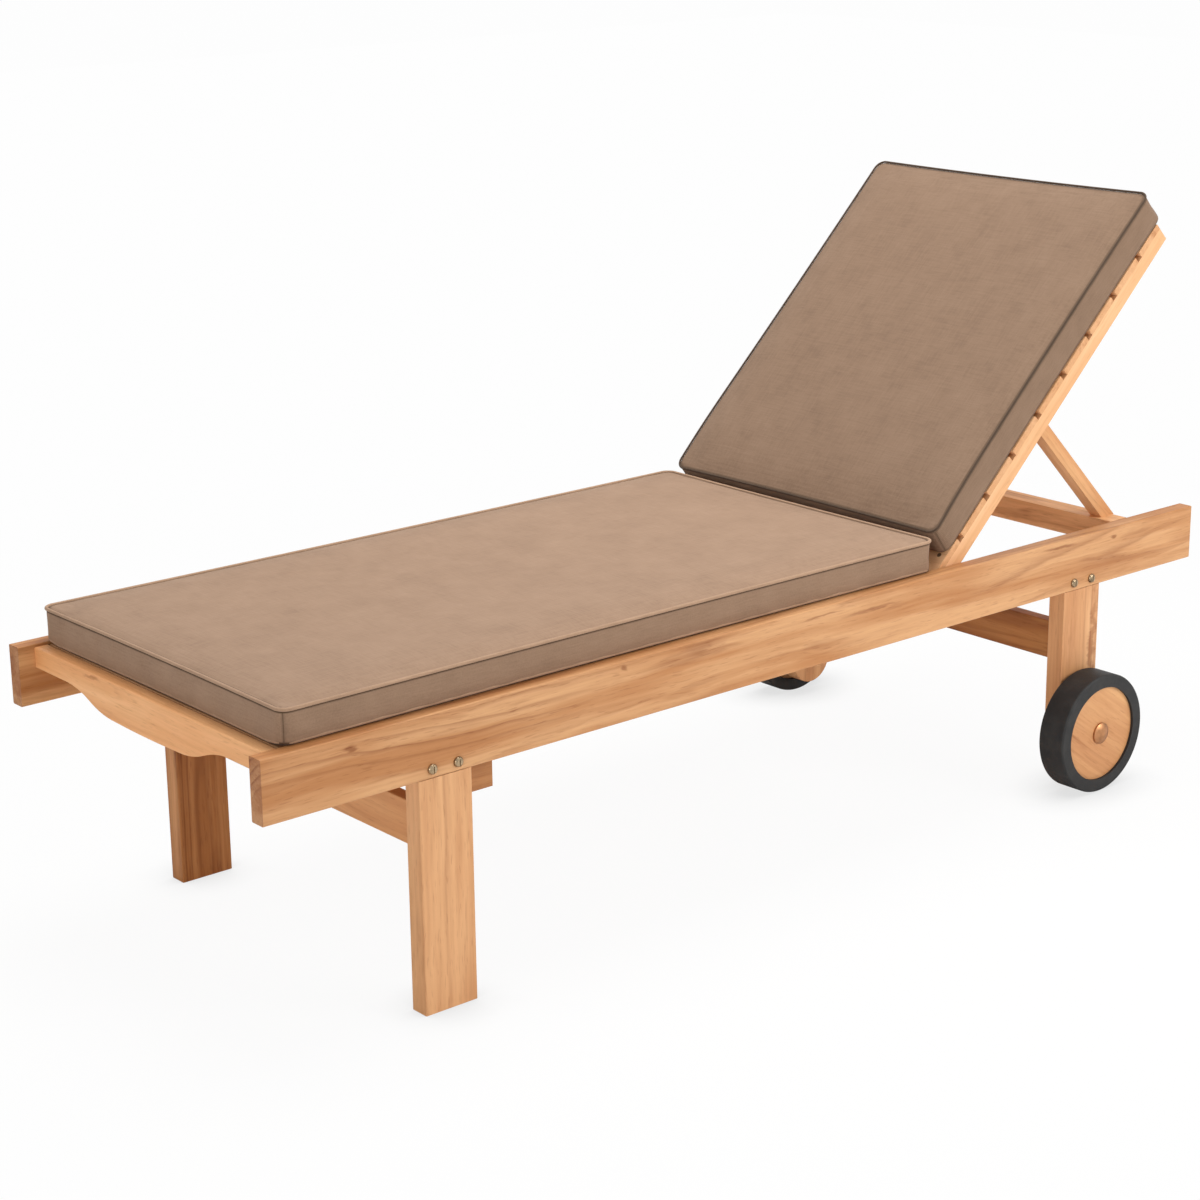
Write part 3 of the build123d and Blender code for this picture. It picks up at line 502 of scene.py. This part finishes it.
# Cushions: foam pads in a sewn cover of mocha canvas, with boxed sides and a welt round the top and bottom edges.
# The seat pad lies on the top edges of the rails; the back pad rides on the back slats.
MOCHA_DARK = (0.252, 0.158, 0.102)
MOCHA = (0.312, 0.199, 0.129)
MOCHA_LIGHT = (0.372, 0.243, 0.162)
# Tone of the painted shade mixed into the canvas along the seams and over the long sides.
PAINTED_SEAM_SHADE = (0.075, 0.045, 0.027)
THREAD_PITCH, THREAD_WEIGHT, THREAD_CONTRAST = 0.0021, 0.34, 0.07
SLUBS_ALONG, SLUBS_ACROSS, SLUB_LEVELS = (28, 420, 420), (420, 28, 420), (0.7, 1.3, -0.2, 0.2)
CLOUDS, CLOUD_LEVELS = (16.0, 5.0, 0.62), (0.2, 0.8, 0.18, 0.72)
MOCHA_AT = 0.42
RUMPLES, RUMPLE_RELIEF = (22.0, 3.0, 0.5, 0.8), (0.35, 0.0022)
WEAVE_RELIEF = (0.4, 0.0005)

# The covers: their outline and grid, then the bands near the seams, and how far the filling swells them
CUSHION_CORNER, RIM_ROUNDING = 0.018, 0.0045
CUTS_FROM_EDGE, GRID, CUTS_IN_SIDE = (0.0062, 0.0098, 0.018, 0.032, 0.052), 0.019, (0.35, 0.5, 0.65)
SEWN_BAND, GROOVE_BAND, OUTER_BAND, FACE_DEPTH = 0.0062, 0.0055, 0.005, 0.004
CORNER_SEAM, CORNER_SEAM_SHADE = 0.0009, 0.8
CORNER_PUCKER, CORNER_PUCKER_SHADE = 0.003, 0.25
SWELL, SIDE_SWELL, QUICK_SWELL = 0.0095, 0.003, 0.02
PULLED_IN = 0.003
SLUMP_END_LOW, SLUMP_END_TOP = 0.06, 0.16
ON_RAIL, SAG_EASE = 0.014, 0.02
SWELLING_FRAMES = 20
FILLING = {
    "quality": 6, "mass": 0.3, "tension_stiffness": 12, "compression_stiffness": 12, "shear_stiffness": 6,
    "bending_stiffness": 0.6, "use_pressure": True, "uniform_pressure_force": 4, "shrink_min": -0.004,
    "vertex_group_mass": "sewn", "pin_stiffness": 8,
}

# The welts: how far the top one lies below the rim and outside it, the same for the bottom one, and their steps
TOP_WELT_DROP, TOP_WELT_PROUD = 0.0002, 0.0001
BOTTOM_WELT_RISE, BOTTOM_WELT_PROUD = 0.0046, -0.0022
WELT_STEP, WELT_CORNER_STEPS = 0.02, 8
SEAT_WELT_RADIUS, BACK_WELT_RADIUS = 0.0028, 0.0019

# A pad's size is half its length, half its width and its thickness at the rims. Its painted shades are how strong the
# painted shade is on its faces and on its boxed sides beside the rims, where the seams' grooves are partly dark of
# themselves, and over its long sides. Its slump is how far its lower end runs forward and sinks, and how far it sags
# between the rails.
SEAT_PAD_ENDS = (-0.950, 0.3386)
SEAT_PAD_BOTTOM = 0.4583
SEAT_PAD_SIZE = (0.6443, 0.330, 0.053)
SEAT_PAINTED_SHADES, SEAT_SLUMP = (0.65, 0.95, 0.13), (0, 0, 0.0042)
# Brightness of the pad's canvas and of its welt's canvas: the seat welt's lighter copy is a painted highlight.
SEAT_BRIGHTNESS, SEAT_WELT_PAINTED_HIGHLIGHT = 1.02, 1.28
BACK_PAD_START = 0.0508
BACK_PAD_LIFT = 0.0258
BACK_PAD_SIZE = (0.3656, 0.321, 0.059)
BACK_PAINTED_SHADES, BACK_SLUMP = (0.9, 0.5, 0.05), (0.008, 0.006, 0)
# The back pad's canvas is a darker copy, painted shade, and its welt's canvas a much darker copy, painted shade along
# its edges.
BACK_SHADED_BRIGHTNESS, BACK_WELT_PAINTED_SHADE = 0.80, 0.26


def canvas(name, turn, painted_brightness):
    """Plain-woven canvas: crossed threads, slubs, soft mottling, painted shade along the seams and the long sides,
    and lighter and darker copies as painted light and shade.
    """
    dark, middle_tone, light = (
        tuple(min(1, part * painted_brightness) for part in tone) for tone in (MOCHA_DARK, MOCHA, MOCHA_LIGHT)
    )
    cloth, tree, shader = new_finish(name)
    place = tied(tree, "ShaderNodeTexCoord").outputs["Object"]
    laid = tied(tree, "ShaderNodeMapping", place)
    laid.inputs["Rotation"].default_value = turn
    laid = laid.outputs[0]
    threads = None
    for axis in ((1, 0, 0), (0, 1, 0), (0, 0, 1)):
        turns = reckoned(tree, "MULTIPLY", distance_along(tree, laid, axis), 2 * math.pi / THREAD_PITCH)
        line = reckoned(tree, "MULTIPLY", reckoned(tree, "SINE", turns), THREAD_WEIGHT)
        threads = line if threads is None else reckoned(tree, "ADD", threads, line)
    slubs = reckoned(
        tree, "ADD", drawn_out(tree, laid, SLUBS_ALONG).outputs[0], drawn_out(tree, laid, SLUBS_ACROSS).outputs[0]
    )
    cloudy = eased(tree, speckled(tree, laid, *CLOUDS).outputs[0], *CLOUD_LEVELS)
    amount = reckoned(tree, "ADD", cloudy, eased(tree, slubs, *SLUB_LEVELS))
    thread_tone = reckoned(tree, "MULTIPLY", threads, THREAD_CONTRAST)
    tone = tied(tree, "ShaderNodeValToRGB", reckoned(tree, "ADD", amount, thread_tone, clamp=True))
    ramp = tone.color_ramp.elements
    ramp[0].position, ramp[0].color = 0.0, (*dark, 1)
    ramp[1].position, ramp[1].color = 1.0, (*light, 1)
    ramp.new(MOCHA_AT).color = (*middle_tone, 1)
    # Painted shade from a point attribute of the cover: darker along the seams, at the corners' upright seams and
    # over the long sides.
    seam_and_side_shade = tied(tree, "ShaderNodeAttribute", attribute_name="seam_and_side_shade").outputs["Fac"]
    tree.links.new(blended(tree, tone.outputs[0], PAINTED_SEAM_SHADE, seam_and_side_shade), shader.inputs["Base Color"])
    shader.inputs["Roughness"].default_value = 0.9
    shader.inputs["Sheen Weight"].default_value = 0.08
    shader.inputs["Sheen Roughness"].default_value = 0.5
    shader.inputs["Specular IOR Level"].default_value = 0.2
    creases = embossed(tree, speckled(tree, laid, *RUMPLES).outputs[0], *RUMPLE_RELIEF)
    weave = embossed(tree, reckoned(tree, "ADD", threads, slubs), *WEAVE_RELIEF)
    tree.links.new(creases.outputs[0], weave.inputs["Normal"])
    tree.links.new(weave.outputs[0], shader.inputs["Normal"])
    return cloth


def drawn_in(place, size, slump):
    """Shape a spot of a sewn cover as the cloth and the filling do.

    The sides pull in between the corners, a leaning pad slumps at its lower end, and a flat one sags.
    """
    half_length, half_width, thickness = size
    place.x *= 1 - PULLED_IN / half_length * max(0.0, 1 - (place.y / half_width) ** 2)
    place.y *= 1 - PULLED_IN / half_width * max(0.0, 1 - (place.x / half_length) ** 2)
    from_end = place.x + half_length
    height = place.z / thickness
    place.x -= slump[0] * (1 - height) * max(0.0, 1 - from_end / SLUMP_END_LOW)
    place.z -= slump[1] * height * max(0.0, 1 - from_end / SLUMP_END_TOP) ** 2
    between_rails = min(1.0, max(0.0, (half_width - ON_RAIL - abs(place.y)) / SAG_EASE))
    place.z -= slump[2] * (1 - height) * between_rails


def sewn_cover(name, size):
    """A closed box with rounded corners and rims, cut into a grid that is finer along the seams."""
    half_length, half_width, thickness = size
    pad = bmesh.new()
    bmesh.ops.create_cube(pad, size=1)
    bmesh.ops.scale(pad, vec=(2 * half_length, 2 * half_width, thickness), verts=pad.verts)
    bmesh.ops.translate(pad, vec=(0, 0, thickness / 2), verts=pad.verts)
    uprights = [edge for edge in pad.edges if abs(edge.verts[0].co.z - edge.verts[1].co.z) > thickness / 2]
    bmesh.ops.bevel(pad, geom=uprights, offset=CUSHION_CORNER, segments=6, profile=0.5, affect="EDGES", material=-1)
    rims = [edge for edge in pad.edges if len({round(corner.co.z, 4) for corner in edge.verts}) == 1]
    bmesh.ops.bevel(pad, geom=rims, offset=RIM_ROUNDING, segments=3, profile=0.5, affect="EDGES", material=-1)

    def cut(point, facing):
        whole = pad.verts[:] + pad.edges[:] + pad.faces[:]
        bmesh.ops.bisect_plane(pad, geom=whole, dist=1e-5, plane_co=point, plane_no=facing)

    for facing, half in ((Vector((1, 0, 0)), half_length), (Vector((0, 1, 0)), half_width)):
        inner = half - CUTS_FROM_EDGE[-1]
        count = round(2 * inner / GRID)
        cuts = [half - gap for gap in CUTS_FROM_EDGE] + [inner - 2 * inner * step / count for step in range(1, count)]
        cuts += [gap - half for gap in CUTS_FROM_EDGE]
        for at in cuts:
            cut(at * facing, facing)
    low = CUTS_FROM_EDGE[:2]
    heights = [*low, *(share * thickness for share in CUTS_IN_SIDE), *(thickness - gap for gap in reversed(low))]
    for height in heights:
        cut((0, 0, height), (0, 0, 1))
    data = bpy.data.meshes.new(name)
    pad.to_mesh(data)
    pad.free()
    piece = bpy.data.objects.new(name, data)
    bpy.context.scene.collection.objects.link(piece)
    return piece


def seam_gap(spot, size):
    """How far in the cover a spot is from the rims, from its outline, and from the corners' upright seams."""
    half_length, half_width, thickness = size
    to_rim = min(spot.z, thickness - spot.z)
    inset = max(0.0, min(half_length - abs(spot.x), half_width - abs(spot.y)))
    past_x = abs(spot.x) - half_length + CUSHION_CORNER
    past_y = abs(spot.y) - half_width + CUSHION_CORNER
    corner_gap = 1.0
    if past_x > 0 and past_y > 0:
        inset = max(0.0, CUSHION_CORNER - math.hypot(past_x, past_y))
        corner_gap = abs(past_x - past_y)
    return to_rim + inset, inset, corner_gap


def filled(piece, gaps):
    """Where the spots of a cover go when the filling presses it out and the seams hold its rims."""
    sewn = piece.vertex_groups.new(name="sewn")
    sewn.add([index for index, gap in enumerate(gaps) if gap[0] < SEWN_BAND], 1.0, "REPLACE")
    filling = piece.modifiers.new("filling", "CLOTH")
    for name, value in FILLING.items():
        setattr(filling.settings, name, value)
    filling.settings.effector_weights.gravity = 0
    for frame_number in range(1, SWELLING_FRAMES + 1):
        bpy.context.scene.frame_set(frame_number)
    shaped = piece.evaluated_get(bpy.context.evaluated_depsgraph_get())
    swollen = [spot.co.copy() for spot in shaped.data.vertices]
    piece.modifiers.remove(filling)
    bpy.context.scene.frame_set(1)
    return swollen


def outline(half_length, half_width):
    """Points round a pad's rounded outline, close together."""
    points = []
    for start, side_x, side_y in ((0, 1, 1), (90, -1, 1), (180, -1, -1), (270, 1, -1)):
        for step in range(WELT_CORNER_STEPS + 1):
            angle = math.radians(start + 90 * step / WELT_CORNER_STEPS)
            points.append(Vector((
                side_x * (half_length - CUSHION_CORNER) + CUSHION_CORNER * math.cos(angle),
                side_y * (half_width - CUSHION_CORNER) + CUSHION_CORNER * math.sin(angle),
                0,
            )))
    spaced = []
    for here, there in zip(points, points[1:] + points[:1]):
        pieces = max(1, round((there - here).length / WELT_STEP))
        spaced += [here.lerp(there, piece / pieces) for piece in range(pieces)]
    return spaced


def box_pad(name, size, cloth, welt_cloth_with_painted_light, welt_radius, place, body, replaced, seams, slump):
    """A boxed pad with its two welts: the filling swells its cover, and the seams hold the rims."""
    half_length, half_width, thickness = size
    # The seams tuple holds how strong the painted shade is beside the seams on the faces and on the boxed sides, and
    # over the long sides.
    face_seam_shade, rim_seam_shade, painted_side_shade = seams
    piece = sewn_cover(name, size)
    data = piece.data
    start = [spot.co.copy() for spot in data.vertices]
    gaps = [seam_gap(spot, size) for spot in start]
    swollen = filled(piece, gaps)
    # Painted shade along the seams' grooves, partly real dark in the seams, at the corners' upright seams and over
    # the long sides.
    seam_and_side_shade = data.attributes.new("seam_and_side_shade", "FLOAT", "POINT")
    for index, (was, now, (rim_gap, inset, corner_gap)) in enumerate(zip(start, swollen, gaps)):
        swell = now - was
        reach = SWELL if abs(was.z - thickness) < FACE_DEPTH else SIDE_SWELL
        if swell.length > 1e-9:
            swell *= reach * math.tanh(swell.length / reach) / swell.length
        spot = was + swell
        spot.z = max(spot.z, 0.0)
        drawn_in(spot, size, slump)
        data.vertices[index].co = place @ spot
        if half_width - abs(was.y) < FACE_DEPTH:
            seam_and_side_shade.data[index].value = painted_side_shade
        if rim_gap < GROOVE_BAND:
            seam_and_side_shade.data[index].value = rim_seam_shade if inset < OUTER_BAND else face_seam_shade
        if corner_gap < CORNER_PUCKER and OUTER_BAND < was.z < thickness - OUTER_BAND:
            seam_and_side_shade.data[index].value = CORNER_SEAM_SHADE if corner_gap < CORNER_SEAM else CORNER_PUCKER_SHADE
    data.materials.append(cloth)
    for face in data.polygons:
        face.use_smooth = True
    finer = piece.modifiers.new("finer", "SUBSURF")
    finer.levels = finer.render_levels = 1
    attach(piece, body)
    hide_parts(replaced)

    # Welts: a cord in a bias strip of the canvas, sewn in round the top and the bottom edge. The strip is a copy of
    # the canvas painted lighter on the seat pad, a painted highlight, and darker on the back pad, painted shade.
    for edge, height, proud in (
        ("top", thickness - TOP_WELT_DROP, TOP_WELT_PROUD),
        ("bottom", BOTTOM_WELT_RISE, BOTTOM_WELT_PROUD),
    ):
        line = bpy.data.curves.new(f"{name}_welt_{edge}_line", "CURVE")
        line.dimensions = "3D"
        line.bevel_depth = welt_radius
        line.bevel_resolution = 3
        run = outline(half_length + proud, half_width + proud)
        spline = line.splines.new("POLY")
        spline.points.add(len(run) - 1)
        for point, spot in zip(spline.points, run):
            spot.z = height
            drawn_in(spot, size, slump)
            point.co = (*(place @ spot), 1)
        spline.use_cyclic_u = True
        carrier = bpy.data.objects.new(line.name, line)
        bpy.context.scene.collection.objects.link(carrier)
        bpy.context.view_layer.update()
        tube = bpy.data.meshes.new_from_object(carrier.evaluated_get(bpy.context.evaluated_depsgraph_get()))
        bpy.data.objects.remove(carrier)
        welt = bpy.data.objects.new(f"{name}_welt_{edge}", tube)
        tube.name = welt.name
        tube.materials.clear()
        tube.materials.append(welt_cloth_with_painted_light)
        for face in tube.polygons:
            face.use_smooth = True
        bpy.context.scene.collection.objects.link(welt)
        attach(welt, body)


LEVEL_WEAVE, TILTED_WEAVE = (0, 0, 0), (0, BACK_TILT, 0)
seat_place = Matrix.Translation((sum(SEAT_PAD_ENDS) / 2, 0, SEAT_PAD_BOTTOM))
seat_canvas = canvas("seat_canvas", LEVEL_WEAVE, SEAT_BRIGHTNESS)
seat_welt_painted_highlight = canvas("seat_welt_painted_highlight", LEVEL_WEAVE, SEAT_WELT_PAINTED_HIGHLIGHT)
box_pad("seat_pad", SEAT_PAD_SIZE, seat_canvas, seat_welt_painted_highlight, SEAT_WELT_RADIUS, seat_place,
        "frame", "seat_cushion", SEAT_PAINTED_SHADES, SEAT_SLUMP)

back_place = (
    Matrix.Translation(BACK_HINGE)
    @ Matrix.Rotation(-BACK_TILT, 4, "Y")
    @ Matrix.Translation((BACK_PAD_START + BACK_PAD_SIZE[0], 0, BACK_PAD_LIFT))
)
shaded_back_canvas = canvas("shaded_back_canvas", TILTED_WEAVE, BACK_SHADED_BRIGHTNESS)
back_welt_painted_shade = canvas("back_welt_painted_shade", TILTED_WEAVE, BACK_WELT_PAINTED_SHADE)
box_pad("back_pad", BACK_PAD_SIZE, shaded_back_canvas, back_welt_painted_shade, BACK_WELT_RADIUS, back_place,
        "backrest", "back_cushion", BACK_PAINTED_SHADES, BACK_SLUMP)
